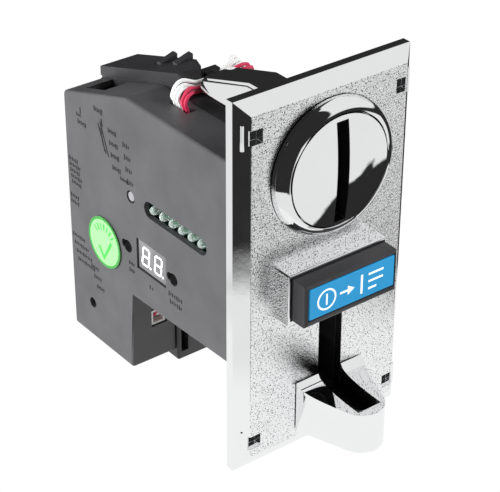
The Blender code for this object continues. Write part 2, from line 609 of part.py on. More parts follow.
def setting_buttons():
    """Three small set-up push buttons: a switch on the board and a cap that moves in the cover."""
    back = BOARD_X - BOARD_T / 2 - GAP
    for number, (y, z) in enumerate(SET_BUTTONS, 1):
        part(f"tact_switch_{number}", box_mesh("switch", (back - 3.1, y - 3, z - 3), (back, y + 3, z + 3),
                                               0.3, 1), "black_plastic")
        seat = back - 3.1 - SET_TRAVEL - 0.2
        front = COVER_LEFT + 0.2
        cap = part(f"set_button_{number}",
                   cylinder_mesh("cap", (0.5 * (front + seat), y, z), 1.7, seat - front, "X", 20),
                   "grey_plastic")
        hang([cap], pivot(f"set_button_{number}_slide", (front, y, z)))


def inspection_sticker():
    """Round paper inspection label stuck to the cover."""
    return part("inspection_sticker",
                cylinder_mesh("sticker", (COVER_LEFT - GAP - 0.1, STICKER_Y, STICKER_Z), STICKER_R, 0.2,
                              "X", 48), "green_sticker")


# ------------------------------------------------------------------ gate, rail and reject lever
def gate_door():
    """Swinging wall of the coin lane and the sloping rail it carries; it opens to drop a rejected coin."""
    made = part("gate_door", box_mesh("gate", (LANE_RIGHT + GAP, GATE_Y0, -16.0),
                                      (LANE_RIGHT + 2.5, GATE_Y1, 38.6), 0.3, 1), "black_plastic")
    for y in (14.0, 30.0, 46.0):
        add_box(made, (LANE_RIGHT + 2, y - 0.8, -12.0), (LANE_RIGHT + 4.4, y + 0.8, 26.0))
    for z in (-14.0, 6.0, 27.0):
        add_box(made, (LANE_RIGHT + 2, GATE_Y0 + 2, z - 0.8), (LANE_RIGHT + 4.0, GATE_Y1 - 2, z + 0.8))
    for y in (12.0, 52.0):
        add_box(made, (LANE_RIGHT + 1, y - 3, 28.0), (GATE_HINGE_X - 0.3, y + 3, GATE_HINGE_Z - 1.2))
        boolean(made, cylinder_mesh("knuckle", (GATE_HINGE_X, y, GATE_HINGE_Z), 2.8, 6.0, "Y", 20), "UNION")
        cut_hole(made, (GATE_HINGE_X, y, GATE_HINGE_Z), 1.3, 8.0, "Y", 16)
    rail = [(y, RAIL_Z0 - RAIL_DROP * y) for y in (GATE_Y0, RAIL_END)]
    rail += [(y, z - RAIL_T) for y, z in reversed(rail)]
    strip = part("coin_rail", outline_mesh("rail", rail, "YZ", LANE_LEFT + 0.4, LANE_RIGHT), "steel")
    hang([made, strip], pivot("gate_hinge", (GATE_HINGE_X, GATE_Y0, GATE_HINGE_Z)))


def gate_hinge():
    """Steel hinge pin from the lug behind the plate to the lug on the lane cover, and its spring."""
    part("gate_hinge_pin", cylinder_mesh("pin", (GATE_HINGE_X, 30.4, GATE_HINGE_Z), 1.0, 63.6, "Y", 16),
         "steel")
    turns, radius, steps = 4, 1.75, 44
    points = [(GATE_HINGE_X + radius * math.cos(2 * math.pi * turns * i / steps), 28.2 + 7.6 * i / steps,
               GATE_HINGE_Z + radius * math.sin(2 * math.pi * turns * i / steps)) for i in range(steps + 1)]
    wire("gate_spring", points, 0.5, "steel")


def reject_lever():
    """Hanging lever that the push rod turns to open the gate."""
    made = part("reject_lever", box_mesh("arm", (-12.9, 6.4, -3.4), (-10.6, 8.6, 18.0), 0.4, 1), "steel")
    boolean(made, cylinder_mesh("hub", (-11.7, 7.5, 14.0), 2.6, 2.6, "X", 20), "UNION")
    cut_hole(made, (-11.7, 7.5, 14.0), 1.25, 6.0, "X", 16)
    hang([made], pivot("reject_lever_hinge", (-11.7, 7.5, 14.0)))
    part("reject_lever_pin", cylinder_mesh("pin", (-9.9, 7.5, 14.0), 0.9, 7.6, "X", 16), "steel")


# ------------------------------------------------------------------ accept flap and solenoid
def accept_flap():
    """Flap across the lane on a shaft through the frame, with a forked crank beyond it."""
    made = part("accept_flap", cylinder_mesh("shaft", (-8.0, FLAP_Y, FLAP_Z), 1.4, 20.0, "X", 20),
                "black_plastic")
    sine, cosine = math.sin(FLAP_LEAN), math.cos(FLAP_LEAN)
    tip = (FLAP_Y + 16 * sine, FLAP_Z + 16 * cosine)
    blade = [(FLAP_Y - 1.1 * cosine, FLAP_Z + 1.1 * sine), (FLAP_Y + 1.1 * cosine, FLAP_Z - 1.1 * sine),
             (tip[0] + 0.7 * cosine, tip[1] - 0.7 * sine), (tip[0] - 0.7 * cosine, tip[1] + 0.7 * sine)]
    boolean(made, outline_mesh("blade", blade, "YZ", LANE_LEFT + 0.2, 2.0), "UNION")
    add_box(made, (SOLENOID_X - 3.0, FLAP_Y - 1, FLAP_Z - 2.6), (SOLENOID_X + 3.0, FLAP_Y + 1, FLAP_Z))
    for x in (SOLENOID_X - 3.0, SOLENOID_X + 1.6):
        add_box(made, (x, FLAP_Y - 1, SOLENOID_Z - 2), (x + 1.4, FLAP_Y + 1, FLAP_Z - 1))
    hang([made], pivot("accept_flap_hinge", (0.0, FLAP_Y, FLAP_Z)))


def solenoid():
    """Frame with its coil, and the plunger whose head draws the crank back."""
    x, z = SOLENOID_X, SOLENOID_Z
    body = part("solenoid_body", box_mesh("yoke", (x - 5.5, 73.0, z - 5.5), (x + 4.3, 89.0, z + 5.5), 0.4, 1),
                "steel")
    cut_hole(body, (x, 80.0, z), 2.5, 16.0, "Y", 20)
    profile = [(0.0, 8.4), (3.0, 8.4), (3.0, 7.2), (1.2, 7.2), (1.2, 1.0), (2.1, 1.0), (2.1, -9.0), (0.0, -9.0)]
    plunger = turned("solenoid_plunger", profile, (x, 71.0, z), "-Y", "steel", 24)
    hang([plunger], pivot("solenoid_slide", (x, 71.0, z)))


def exit_chute():
    """Lower rear block under the coin lane, through which accepted coins leave."""
    made = part("exit_chute", box_mesh("chute", (MODULE_RIGHT + GAP, 56.0, -64.2),
                                       (7.0, BODY_REAR, STEP_Z - GAP), 0.6, 1), "black_plastic")
    cut_box(made, (LANE_LEFT, 68.0, -70), (LANE_RIGHT, 90.0, -20))
    cut_box(made, (-9.2, 50, -61), (-6.4, 60.5, -38))
    cut_box(made, (-5.2, 50, -52), (-3.4, 60.5, -36))
    cut_box(made, (LANE_LEFT, 50, -37.5), (LANE_RIGHT, 64.0, -20))
    cut_box(made, (MODULE_RIGHT - 1, 62.0, -60), (-4.5, 88.0, -34))
    return made


def exit_sensor():
    """Optical sensor that counts each coin in the exit."""
    return part("exit_sensor", box_mesh("sensor", (LANE_RIGHT + 4.5, 72.0, -50.0),
                                        (9.6, 84.0, EXIT_SENSOR_TOP), 0.4, 1), "black_plastic")


def lane_cover():
    """Fixed wall that closes the lane behind the gate and holds the rear of the hinge pin."""
    outline = [(60.0, STEP_Z + GAP), (60.0, 38.2), (90.2, 28.2), (90.2, STEP_Z + GAP)]
    made = part("lane_cover", outline_mesh("cover", outline, "YZ", LANE_RIGHT + GAP, LANE_RIGHT + 2.4),
                "black_plastic")
    for y in (66.0, 84.0):
        add_box(made, (LANE_RIGHT + 2, y - 0.8, STEP_Z + 2), (LANE_RIGHT + 3.8, y + 0.8, 24.0))
    add_box(made, (LANE_RIGHT + 1, 60.3, GATE_HINGE_Z - 2.4), (GATE_HINGE_X + 2.4, 63.0, GATE_HINGE_Z + 2.2))
    return cut_hole(made, (GATE_HINGE_X, 61.6, GATE_HINGE_Z), 1.3, 4.0, "Y", 16)


def return_chute():
    """Open-topped chute that leads a dropped coin forward to the slot over the cup. Its right wall is
    taller at the front and has a flange, which close the space behind the slot."""
    left, right = RETURN_X - RETURN_HALF, RETURN_X + RETURN_HALF
    front = BACK_Y + GAP
    outer = [(front, -48.8), (front, -31.0), (55.4, -31.0), (55.4, -36.0), (GAP, -48.6)]
    made = part("return_chute", outline_mesh("chute", outer, "YZ", left - 1.6, right + 3.4), "black_plastic")
    lane = [(front - 1, -46.9), (front - 1, -20.0), (60.0, -20.0), (60.0, -33.6), (1.0, -46.6)]
    boolean(made, outline_mesh("lane", lane, "YZ", left, right))
    wall = [(front, -32.0), (front, CHUTE_WALL_TOP), (14.0, CHUTE_WALL_TOP), (24.0, -32.0)]
    boolean(made, outline_mesh("wall", wall, "YZ", right, right + 3.4), "UNION")
    return add_box(made, (right + 1, front, -33.0), (right + 12.0, 2.0, RETURN_SLOT_TOP + 0.6))


# ------------------------------------------------------------------ rear controls, wires, screws
def rear_controls():
    """Plug socket and the two slide switches in the rear wall."""
    face = BODY_REAR - COVER_WALL + 0.6
    socket = part("rear_connector", box_mesh("socket", (-23.7, 86.5, -13.7), (-18.3, BODY_REAR + 1, 1.7)),
                  "white_plastic")
    cut_box(socket, (-22.7, face - 1.0, -12.7), (-19.3, 99, 0.7))
    block = part("slide_switch_block", box_mesh("block", (-24.3, 86.5, 8.3), (-18.9, BODY_REAR - 0.4, 19.7)),
                 "black_plastic")
    for number, z in ((1, 11.2), (2, 16.8)):
        cut_box(block, (-22.6, 89.0, z - 2.2), (-20.6, 99, z + 2.2))
        knob = part(f"switch_knob_{number}", box_mesh("knob", (-22.3, 89.3, z - 0.9),
                                                      (-20.9, BODY_REAR + 1.4, z + 0.9)), "white_plastic")
        hang([knob], pivot(f"switch_{number}_slide", (-21.6, BODY_REAR, z)))


def lower_connector():
    """White plug in the notch of the lower module's front wall."""
    made = part("lower_connector", box_mesh("plug", (-19.9, STEP_Y + 0.6, -47.1), (-14.3, 66.0, -41.6)),
                "white_plastic")
    cut_box(made, (-19.1, 50, -46.3), (-15.1, STEP_Y + 3.6, -42.4))


def harness():
    """A flat lead from its socket on the board, out of the cover's roof, behind the hood and down
    the right side to the exit sensor: three white wires and two red ones in front of them."""
    part("harness_socket", box_mesh("socket", (BOARD_X + BOARD_T / 2 + GAP, 36.8, 26.5),
                                    (-16.2, 46.4, SOCKET_TOP), 0.3, 1), "white_plastic")
    start, end = SOCKET_TOP + GAP, EXIT_SENSOR_TOP + GAP
    flat, upright, turning = (0, 1, 0), (0, 0, 1), (0, 0.7, 0.7)
    white = [((-17.2, 43.4, start), flat), ((-17.2, 43.4, 36.5), flat), ((-17.9, 43.4, 40.2), flat),
             ((-18.5, 43.7, 42.3), flat), ((-16.7, 44.6, 44.1), flat), ((-13.4, 46.2, 43.9), turning),
             ((-10.4, 47.9, 42.0), upright), ((-7.0, 48.5, 40.6), upright), ((-2.0, 48.5, 40.6), upright),
             ((1.5, 48.5, 40.6), upright), ((5.0, 49.0, 43.0), upright), ((8.8, 50.0, 44.0), turning),
             ((12.4, 52.5, 41.8), flat), ((14.0, 57.0, 36.0), flat), ((13.4, 63.0, 28.0), flat),
             ((11.2, 71.0, 14.0), flat), ((9.6, 76.0, -4.0), flat), ((8.8, 79.0, -24.0), flat),
             ((8.4, 79.6, end), flat)]
    red = [((-17.2, 39.3, start), flat), ((-17.2, 39.3, 36.5), flat), ((-17.9, 39.3, 40.2), flat),
           ((-18.4, 39.4, 42.1), flat), ((-16.7, 40.2, 43.7), flat), ((-13.6, 42.3, 43.5), turning),
           ((-10.9, 45.0, 41.7), upright), ((-7.6, 46.95, 40.1), upright), ((-4.0, 47.05, 40.0), upright),
           ((1.5, 47.05, 39.9), upright), ((5.2, 46.9, 42.2), upright), ((9.0, 45.8, 43.6), turning),
           ((12.6, 47.2, 42.0), flat), ((14.8, 51.5, 36.0), flat), ((14.2, 58.0, 27.0), flat),
           ((11.8, 67.0, 12.0), flat), ((9.9, 72.0, -6.0), flat), ((8.8, 74.8, -25.0), flat),
           ((8.4, 75.2, end), flat)]
    flat_lead("harness_white", white, 3, "white_wire")
    flat_lead("harness_red", red, 2, "red_wire")


def flat_lead(name, route, count, finish):
    """Wires side by side. Each knot of the route gives its place and the direction across the lead."""
    places = smooth_route([place for place, across in route], 64)
    across = smooth_route([across for place, across in route], 64)
    last = len(places) - 1
    for k in range(count):
        shift = (k - 0.5 * (count - 1)) * WIRE_PITCH
        points = []
        for i, place in enumerate(places):
            along = (places[min(last, i + 1)] - places[max(0, i - 1)]).normalized()
            side = (across[i] - along * across[i].dot(along)).normalized()
            points.append(place + side * shift)
        wire(f"{name}_{k + 1}", points, WIRE_D, finish)


def frame_screws():
    """Screws sunk in the frame's web that draw the cover's posts against it."""
    profile = [(0.0, 1.0), (1.7, 0.8), (2.4, 0.0), (1.0, 0.0), (1.0, -4.4), (0.0, -4.4)]
    for number, (y, z) in enumerate(SCREW_PLACES, 1):
        turned(f"frame_screw_{number}", profile, (FRAME_RIGHT - 1.1, y, z), "X", "steel", 16)


def build():
    front_panel()
    coin_entry()
    coin_return_cup()
    entry_hood()
    reject_button()
    button_spring()
    left_cover()
    main_frame()
    lane_end()
    sensor_coils()
    circuit_board()
    display_module()
    status_leds()
    setting_buttons()
    inspection_sticker()
    gate_door()
    gate_hinge()
    reject_lever()
    accept_flap()
    solenoid()
    exit_chute()
    exit_sensor()
    lane_cover()
    return_chute()
    rear_controls()
    lower_connector()
    harness()
    frame_screws()


build()
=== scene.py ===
"""Looks, light and camera for the panel-mounted coin acceptor. Lengths are in millimetres, and
values given to shaders are in metres, unless a line says otherwise."""
import math

import bmesh
import bpy
from mathutils import Matrix, Vector


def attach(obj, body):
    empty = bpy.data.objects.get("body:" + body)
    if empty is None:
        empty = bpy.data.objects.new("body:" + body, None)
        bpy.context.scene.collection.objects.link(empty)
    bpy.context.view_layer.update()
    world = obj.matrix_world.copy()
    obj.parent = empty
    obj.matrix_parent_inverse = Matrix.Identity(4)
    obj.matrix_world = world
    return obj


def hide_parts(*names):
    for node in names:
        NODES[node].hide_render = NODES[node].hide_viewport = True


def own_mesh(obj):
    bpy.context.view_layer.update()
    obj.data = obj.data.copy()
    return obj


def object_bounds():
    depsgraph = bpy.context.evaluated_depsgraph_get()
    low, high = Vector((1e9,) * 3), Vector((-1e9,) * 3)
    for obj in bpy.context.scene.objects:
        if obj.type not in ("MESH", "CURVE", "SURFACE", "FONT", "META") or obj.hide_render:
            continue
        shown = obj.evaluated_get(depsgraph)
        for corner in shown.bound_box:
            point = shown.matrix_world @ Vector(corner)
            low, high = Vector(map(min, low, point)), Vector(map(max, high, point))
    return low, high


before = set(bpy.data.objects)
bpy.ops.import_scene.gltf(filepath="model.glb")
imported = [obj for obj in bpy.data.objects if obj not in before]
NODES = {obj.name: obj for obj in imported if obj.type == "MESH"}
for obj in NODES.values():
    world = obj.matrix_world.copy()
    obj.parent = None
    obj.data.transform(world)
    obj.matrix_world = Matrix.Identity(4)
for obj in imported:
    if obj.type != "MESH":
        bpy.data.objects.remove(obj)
CAD_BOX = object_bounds()
MM = 0.001
FACE_Y = -6.7                   # plane of the plate's raised face
COVER_X = -28.0                 # outer face of the side cover
SCENE = bpy.context.scene

COIN_SLOT_X, RETURN_SLOT_X = 0.3, 2.2                   # middles of the two upright slots
STICKER_Y, STICKER_Z, STICKER_R = 71.0, -18.2, 9.0      # round label on the side cover
LABEL_Y = -18.3                 # front of the button's blue label
PRINT_T, PRINT_LIFT = 0.12, 0.02                        # cover print's thickness and gap to the cover
FILM_FAR, FILM_NEAR = 0.06, 0.01                        # marks printed on the sticker and the label
DIGIT_STROKE, DIGIT_GAP = 0.29, 0.16                    # half width of a segment, gap at its ends
FLOOR_SIZE, FLOOR_DROP = 6.0, 0.0004                    # metres
NEAR_START, NEAR_END = 0.085, 0.10                      # reach of the mirrored table, metres
CAMERA_PLACE, CAMERA_TURN = (-297.87, -352.79, 286.34), (-37.74, 90 - 31.75, 0.21)
CAMERA_LENS, CAMERA_SHIFT = 129.98, (0.0055, 0.0197)
TABLE_RISE = -32.3              # elevation in degrees where the white table ends
ROOM_DARK, ROOM_DIFFUSE = 0.03, 0.5                     # light of the dark walls, light on matt surfaces


# ------------------------------------------------------------------ node graph helpers
class Graph:
    """A material's node tree with short calls for the nodes used below."""

    def __init__(self, name):
        self.material = bpy.data.materials.new(name)
        self.material.use_nodes = True
        self.tree = self.material.node_tree
        self.shader = self.tree.nodes["Principled BSDF"]
        self.place = self.add("ShaderNodeTexCoord").outputs["Object"]

    def add(self, kind, **settings):
        node = self.tree.nodes.new(kind)
        for key, value in settings.items():
            setattr(node, key, value)
        return node

    def link(self, value, socket):
        if isinstance(value, bpy.types.NodeSocket):
            self.tree.links.new(value, socket)
        elif isinstance(value, (tuple, list)) and len(value) == 3 and socket.type == "RGBA":
            socket.default_value = (*value, 1.0)
        else:
            socket.default_value = value

    def math(self, operation, *values, clamp=False):
        node = self.add("ShaderNodeMath", operation=operation, use_clamp=clamp)
        for socket, value in zip(node.inputs, values):
            self.link(value, socket)
        return node.outputs[0]

    def mix(self, factor, a, b, mode="MIX"):
        node = self.add("ShaderNodeMix", data_type="RGBA", blend_type=mode)
        self.link(factor, node.inputs["Factor"])
        self.link(a, node.inputs["A"])
        self.link(b, node.inputs["B"])
        return node.outputs["Result"]

    def noise(self, scale, detail=3.0, roughness=0.5, stretch=None):
        node = self.add("ShaderNodeTexNoise")
        self.link(self.stretched(stretch), node.inputs["Vector"])
        node.inputs["Scale"].default_value = scale
        node.inputs["Detail"].default_value = detail
        node.inputs["Roughness"].default_value = roughness
        return node.outputs["Fac"]

    def cells(self, scale, feature="F1"):
        node = self.add("ShaderNodeTexVoronoi", feature=feature)
        self.link(self.place, node.inputs["Vector"])
        node.inputs["Scale"].default_value = scale
        return node.outputs["Distance"]

    def stretched(self, stretch):
        if stretch is None:
            return self.place
        node = self.add("ShaderNodeVectorMath", operation="MULTIPLY")
        self.link(self.place, node.inputs[0])
        node.inputs[1].default_value = stretch
        return node.outputs[0]

    def axis(self, letter):
        node = self.add("ShaderNodeSeparateXYZ")
        self.link(self.place, node.inputs[0])
        return node.outputs[letter]

    def span(self, value, low, high, out_low=0.0, out_high=1.0):
        node = self.add("ShaderNodeMapRange", clamp=True)
        self.link(value, node.inputs["Value"])
        limits = (("From Min", low), ("From Max", high), ("To Min", out_low), ("To Max", out_high))
        for key, number in limits:
            node.inputs[key].default_value = number
        return node.outputs["Result"]

    def bump(self, height, strength, distance, normal=None):
        node = self.add("ShaderNodeBump")
        self.link(height, node.inputs["Height"])
        self.link(strength, node.inputs["Strength"])
        node.inputs["Distance"].default_value = distance
        if normal is not None:
            self.link(normal, node.inputs["Normal"])
        return node.outputs["Normal"]

    def crowned(self, lift):
        """The surface normal, tilted up on flat left sides so that they mirror as a rounded side does."""
        normal = self.add("ShaderNodeNewGeometry").outputs["Normal"]
        split = self.add("ShaderNodeSeparateXYZ")
        self.link(normal, split.inputs[0])
        side = self.math("LESS_THAN", split.outputs["X"], -0.75)
        rise = self.add("ShaderNodeCombineXYZ")
        self.link(self.math("MULTIPLY", side, lift), rise.inputs["Z"])
        total = self.add("ShaderNodeVectorMath", operation="ADD")
        self.link(normal, total.inputs[0])
        self.link(rise.outputs[0], total.inputs[1])
        unit = self.add("ShaderNodeVectorMath", operation="NORMALIZE")
        self.link(total.outputs[0], unit.inputs[0])
        return unit.outputs[0]

    def edges(self, radius_mm, gain):
        """1 on worn outer edges, 0 on flat faces."""
        rounded = self.add("ShaderNodeBevel", samples=4)
        rounded.inputs["Radius"].default_value = radius_mm * MM
        flat = self.add("ShaderNodeNewGeometry").outputs["Normal"]
        dot = self.add("ShaderNodeVectorMath", operation="DOT_PRODUCT")
        self.link(rounded.outputs[0], dot.inputs[0])
        self.link(flat, dot.inputs[1])
        turned = self.math("SUBTRACT", 1.0, dot.outputs["Value"])
        return self.math("MULTIPLY", turned, gain, clamp=True)

    def finish(self, colour=None, roughness=None, metallic=None, normal=None, **constants):
        for name, value in (("Base Color", colour), ("Roughness", roughness), ("Metallic", metallic),
                            ("Normal", normal)):
            if value is not None:
                self.link(value, self.shader.inputs[name])
        for name, value in constants.items():
            self.shader.inputs[name.replace("_", " ")].default_value = value
        return self.material


def paler(colour, factor, lift):
    """The colour of the same stuff where it is lighter."""
    return tuple(min(1.0, c * factor + lift) for c in colour)


def plastic(name, colour, roughness, grain=0.25, variation=0.12, wear=0.25, **constants):
    """Moulded plastic: fine grain, uneven gloss, slight cloudiness and paler rubbed edges."""
    g = Graph(name)
    cloud = g.noise(55.0, 4.0)
    base = g.mix(g.span(cloud, 0.3, 0.7, 0.0, variation), colour, paler(colour, 1.9, 0.02))
    rubbed = g.math("MULTIPLY", g.edges(0.35, 1.6), g.span(g.noise(900.0, 2.0), 0.35, 0.65, 0.2, 1.0))
    base = g.mix(g.math("MULTIPLY", rubbed, wear), base, paler(colour, 2.6, 0.05))
    gloss = g.math("ADD", roughness, g.span(g.noise(160.0, 3.0), 0.3, 0.7, -0.05, 0.06))
    grain_height = g.math("ADD", g.noise(2600.0, 2.0), g.math("MULTIPLY", g.cells(1560.0), 0.5))
    normal = g.bump(grain_height, grain, 0.00004)
    return g.finish(base, gloss, 0.0, normal, **constants)


def metal(name, colour, roughness, brushed=(1, 1, 1), grain=0.08):
    """Bare metal with fine streaks, drawn out where brushed stretches them."""
    g = Graph(name)
    streaks = g.noise(700.0, 4.0, 0.6, brushed)
    base = g.mix(g.span(streaks, 0.3, 0.7, 0.0, 0.35), colour, tuple(c * 0.7 for c in colour))
    gloss = g.math("ADD", roughness, g.span(g.noise(240.0, 3.0), 0.3, 0.7, -0.05, 0.09))
    return g.finish(base, gloss, 1.0, g.bump(streaks, grain, 0.00005))


def chrome(name, hammered=False, dark=None, crowned=False):
    """Bright plating on a moulding: faint waves and smudges. dark(graph) masks slots and recesses,
    painted matt black as shade; hammered gives the plate's raised face its texture and dark specks
    painted in as reflections; crowned tilts flat left sides."""
    g = Graph(name)
    smudge = g.span(g.noise(70.0, 5.0, 0.6), 0.45, 0.75, 0.0, 1.0)
    base = g.mix(g.math("MULTIPLY", smudge, 0.10), (0.93, 0.935, 0.94), (0.78, 0.79, 0.81))
    gloss = g.span(smudge, 0.0, 1.0, 0.02, 0.06)
    shape = g.crowned(0.9) if crowned else None
    waves = g.bump(g.noise(38.0, 1.0, 0.4), 0.10, 0.0012, shape)
    normal = g.bump(g.noise(420.0, 3.0), 0.05, 0.00006, waves)
    if hammered:
        face = g.math("COMPARE", g.axis("Y"), FACE_Y * MM, 0.00016)
        pits = g.math("ADD", g.cells(2300.0, "SMOOTH_F1"), g.math("MULTIPLY", g.noise(2700.0, 2.0, 0.7), 1.5))
        normal = g.bump(pits, g.math("MULTIPLY", face, 0.17), 0.0003, normal)
        # Painted reflection: dark specks in the plating's colour stand in for hammered facets mirroring the
        # dark room; there are more of them where z is high and x is low.
        painted_speck_spread = g.span(g.math("SUBTRACT", g.axis("Z"), g.axis("X")), -0.03, 0.08, 0.0, 0.03)
        painted_reflection_speck = g.span(g.math("ADD", g.noise(2500.0, 1.0, 0.5), painted_speck_spread), 0.60, 0.66, 0.0, 0.93)
        base = g.mix(g.math("MULTIPLY", face, painted_reflection_speck), base, (0.03, 0.03, 0.032))
        gloss = g.math("ADD", gloss, g.math("MULTIPLY", face, 0.10))
    metallic = 1.0
    # Painted shade: inside slots and recesses the plating turns matt black, standing in for the dark there.
    if dark is not None:
        painted_recess_shade = dark(g)
        base = g.mix(painted_recess_shade, base, (0.006, 0.006, 0.006))
        metallic = g.math("SUBTRACT", 1.0, painted_recess_shade)
        gloss = g.math("ADD", gloss, g.math("MULTIPLY", painted_recess_shade, 0.45))
    return g.finish(base, gloss, metallic, normal)


def inside(g, centre, half, low, high):
    """1 inside an upright slot: within half of centre across, and from low (y, z) to high (y, z)."""
    reach = g.math("ABSOLUTE", g.math("SUBTRACT", g.axis("X"), centre * MM))
    mask = g.math("LESS_THAN", reach, half * MM)
    for letter, start, end in zip("YZ", low, high):
        mask = g.math("MULTIPLY", mask, g.math("GREATER_THAN", g.axis(letter), start * MM))
        mask = g.math("MULTIPLY", mask, g.math("LESS_THAN", g.axis(letter), end * MM))
    return mask


def plate_recesses(g):
    """The coin and return slots, the hollow behind the button and the plate's rear: painted black as shade.
    """
    slots = g.math("MAXIMUM", inside(g, COIN_SLOT_X, 2.25, (FACE_Y + 0.1, 18.0), (5.0, 50.0)),
                   inside(g, RETURN_SLOT_X, 4.55, (FACE_Y + 0.05, -47.2), (5.0, -11.0)))
    button = inside(g, COIN_SLOT_X, 18.2, (-11.5, -9.6), (5.0, 5.7))
    rear = inside(g, 0.0, 28.6, (-3.4, -57.0), (5.0, 59.0))
    return g.math("MAXIMUM", g.math("MAXIMUM", slots, button), rear)


# ------------------------------------------------------------------ mesh helpers
def piece(name, mesh, body, material, *replaced, smooth=None):
    """A visible piece that rides a body, and takes the place of the CAD nodes in replaced."""
    made = bpy.data.objects.new(name, mesh)
    SCENE.collection.objects.link(made)
    mesh.materials.clear()
    mesh.materials.append(material)
    if smooth is not None:
        mesh.shade_smooth()
        mesh.set_sharp_from_angle(angle=math.radians(smooth))
    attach(made, body)
    if replaced:
        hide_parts(*replaced)
    return made


def mesh_of(bm, name):
    bmesh.ops.recalc_face_normals(bm, faces=bm.faces)
    mesh = bpy.data.meshes.new(name)
    bm.to_mesh(mesh)
    bm.free()
    return mesh


def add_prism(bm, outline, low, high, axis="X"):
    """A flat outline given thickness along X or Y: (u, v) are the other two axes in X, Y, Z order."""
    order = {"X": (2, 0, 1), "Y": (0, 2, 1)}[axis]

    def place(u, v, w):
        return Vector([(u, v, w)[i] for i in order]) * MM

    near = [bm.verts.new(place(u, v, low)) for u, v in outline]
    far = [bm.verts.new(place(u, v, high)) for u, v in outline]
    count = len(outline)
    bm.faces.new(near)
    bm.faces.new(reversed(far))
    for i in range(count):
        bm.faces.new((near[i], near[(i + 1) % count], far[(i + 1) % count], far[i]))


def dress(names, material, bevel=0.0, segments=2, angle=30.0):
    """A CAD node keeps its shape and gets its material, softened edges and smooth round faces."""
    for name in names:
        node = NODES[name]
        node.data.materials.clear()
        node.data.materials.append(material)
        if "custom_normal" in node.data.attributes:
            node.data.attributes.remove(node.data.attributes["custom_normal"])
        node.data.shade_smooth()
        weld = node.modifiers.new("weld", "WELD")
        weld.merge_threshold = 0.000002
        if bevel > 0.0:
            flat = node.modifiers.new("flat", "DECIMATE")
            flat.decimate_type = "DISSOLVE"
            flat.angle_limit = math.radians(0.6)
            soft = node.modifiers.new("soft", "BEVEL")
            soft.width = bevel * MM
            soft.segments = segments
            soft.limit_method = "ANGLE"
            soft.angle_limit = math.radians(32.0)
            even = node.modifiers.new("even", "WEIGHTED_NORMAL")
            even.weight = 100
        else:
            split = node.modifiers.new("split", "EDGE_SPLIT")
            split.split_angle = math.radians(angle)


# ------------------------------------------------------------------ stage, light, camera
def studio():
    """Floor, lamps and the room's light."""
    bm = bmesh.new()
    bmesh.ops.create_grid(bm, x_segments=2, y_segments=2, size=FLOOR_SIZE)
    mesh = mesh_of(bm, "floor")
    floor = bpy.data.objects.new("floor", mesh)
    SCENE.collection.objects.link(floor)
    floor.location.z = CAD_BOX[0].z - FLOOR_DROP
    mesh.materials.append(floor_material())
    world = bpy.data.worlds.new("studio")
    SCENE.world = world
    world.use_nodes = True
    world_light(world.node_tree)
    area("soft_top_right", (520, -560, 560), (0, 0, 0), 420, 420, 8.0)
    area("soft_left_rear", (-700, 420, 160), (-20, 40, 0), 500, 420, 15.0)
    SCENE.view_settings.view_transform = "Standard"
    SCENE.view_settings.look = "None"


def area(name, place, target, width, height, power):
    """A rectangular lamp that lights matt surfaces and isn't mirrored."""
    data = bpy.data.lights.new(name, "AREA")
    data.shape = "RECTANGLE"
    data.size, data.size_y = width * MM, height * MM
    data.energy = power
    lamp = bpy.data.objects.new(name, data)
    SCENE.collection.objects.link(lamp)
    lamp.location = Vector(place) * MM
    lamp.visible_glossy = False
    lamp.rotation_euler = (Vector(target) - Vector(place)).to_track_quat("-Z", "Y").to_euler()


def floor_material():
    """Pale table. Mirrored, only the part near the object counts: beyond it the room's walls take over."""
    g = Graph("pale_floor")
    g.tree.nodes.remove(g.shader)
    x, y = g.axis("X"), g.math("SUBTRACT", g.axis("Y"), 0.02)
    reach = g.math("SQRT", g.math("ADD", g.math("MULTIPLY", x, x), g.math("MULTIPLY", y, y)))
    path = g.add("ShaderNodeLightPath").outputs
    near = g.span(reach, NEAR_START, NEAR_END, 1.0, 0.0)
    paper = g.add("ShaderNodeEmission")
    g.link(g.math("MULTIPLY_ADD", path["Is Camera Ray"], 0.1, 0.92), paper.inputs["Strength"])
    open_side = g.add("ShaderNodeBsdfTransparent")
    pick = g.add("ShaderNodeMixShader")
    g.link(g.math("MAXIMUM", near, g.math("SUBTRACT", 1.0, path["Is Glossy Ray"])), pick.inputs[0])
    g.link(open_side.outputs[0], pick.inputs[1])
    g.link(paper.outputs[0], pick.inputs[2])
    g.link(pick.outputs[0], g.tree.nodes["Material Output"].inputs["Surface"])
    return g.material


